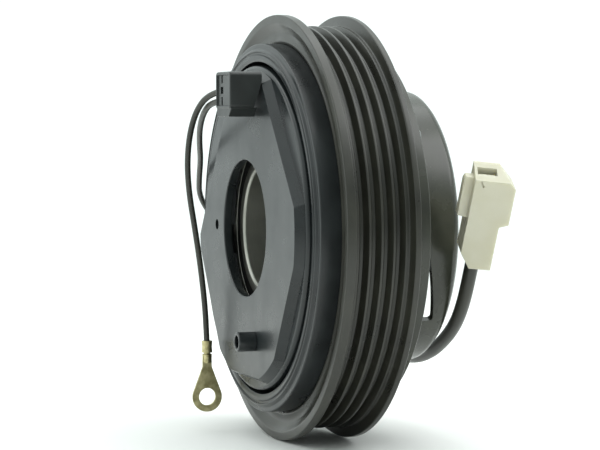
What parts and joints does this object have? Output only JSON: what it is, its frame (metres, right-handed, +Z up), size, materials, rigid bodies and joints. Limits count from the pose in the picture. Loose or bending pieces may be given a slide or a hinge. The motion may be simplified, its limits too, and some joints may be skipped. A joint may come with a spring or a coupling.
{
  "type": "electromagnetic clutch",
  "caption": "Compressor clutch: fixed field coil on a flat plate, ribbed pulley on a bearing, splined hub with a sprung armature under a pressed cup, ground eyelet and white plug.",
  "frame": {"origin": "centre of the coil plate's bore on its flat mounting face", "axes": "+Y along the shaft axis towards the compressor, +Z up with the lead block at the top"},
  "size_m": [0.1338, 0.073, 0.125],
  "materials": {
    "black_paint": "satin",
    "dark_iron": "satin",
    "friction_facing": "matte",
    "bearing_steel": "polished",
    "spring_steel": "satin",
    "zinc_steel": "satin",
    "seal_rubber": "matte",
    "cage_polymer": "matte",
    "bobbin_polymer": "matte",
    "copper_wire": "satin",
    "potting_resin": "gloss",
    "block_plastic": "satin",
    "lead_cover": "satin",
    "sleeve_cover": "satin",
    "nylon": "satin",
    "tinned_brass": "satin"
  },
  "bodies": {
    "field_coil": {"coil_plate": "black_paint", "coil_shell": "black_paint", "coil_bobbin": "bobbin_polymer", "coil_winding": "copper_wire", "coil_potting": "potting_resin", "locating_pin": "black_paint", "lead_block": "block_plastic", "ground_lead": "lead_cover", "ring_terminal": "tinned_brass", "power_lead": "lead_cover", "lead_sleeve": "sleeve_cover", "connector_housing": "nylon", "connector_terminal": "tinned_brass", "bearing_inner_ring": "bearing_steel"},
    "pulley": {"belt_ring": "black_paint", "rotor": "black_paint", "friction_ring": "friction_facing", "bearing_outer_ring": "bearing_steel", "bearing_seals": "seal_rubber", "bearing_retaining_ring": "spring_steel"},
    "bearing_cage": {"bearing_balls": "bearing_steel", "bearing_cages": "cage_polymer"},
    "hub": {"splined_hub": "zinc_steel", "air_gap_shims": "spring_steel", "hub_rivets": "zinc_steel", "leaf_springs": "spring_steel"},
    "armature": {"armature_plate": "dark_iron", "stop_cup": "black_paint", "cup_rivets": "zinc_steel", "spring_rivets": "zinc_steel"}
  },
  "joints": [
    {"name": "pulley_spin", "type": "hinge", "parent": "field_coil", "child": "pulley", "pos_m": [0, -0.0154, 0], "axis": [0, 1, 0], "continuous": true},
    {"name": "cage_spin", "type": "hinge", "parent": "field_coil", "child": "bearing_cage", "pos_m": [0, -0.0154, 0], "axis": [0, 1, 0], "continuous": true},
    {"name": "hub_spin", "type": "hinge", "parent": "field_coil", "child": "hub", "pos_m": [0, -0.037, 0], "axis": [0, 1, 0], "continuous": true},
    {"name": "armature_pull", "type": "slide", "parent": "hub", "child": "armature", "axis": [0, 1, 0], "range_m": [0, 0.00045], "stiffness_N_per_m": 30000, "deforming": ["leaf_springs"]}
  ],
  "couplings": [
    {"joint": "cage_spin", "follows": "pulley_spin", "ratio": 0.5604}
  ]
}
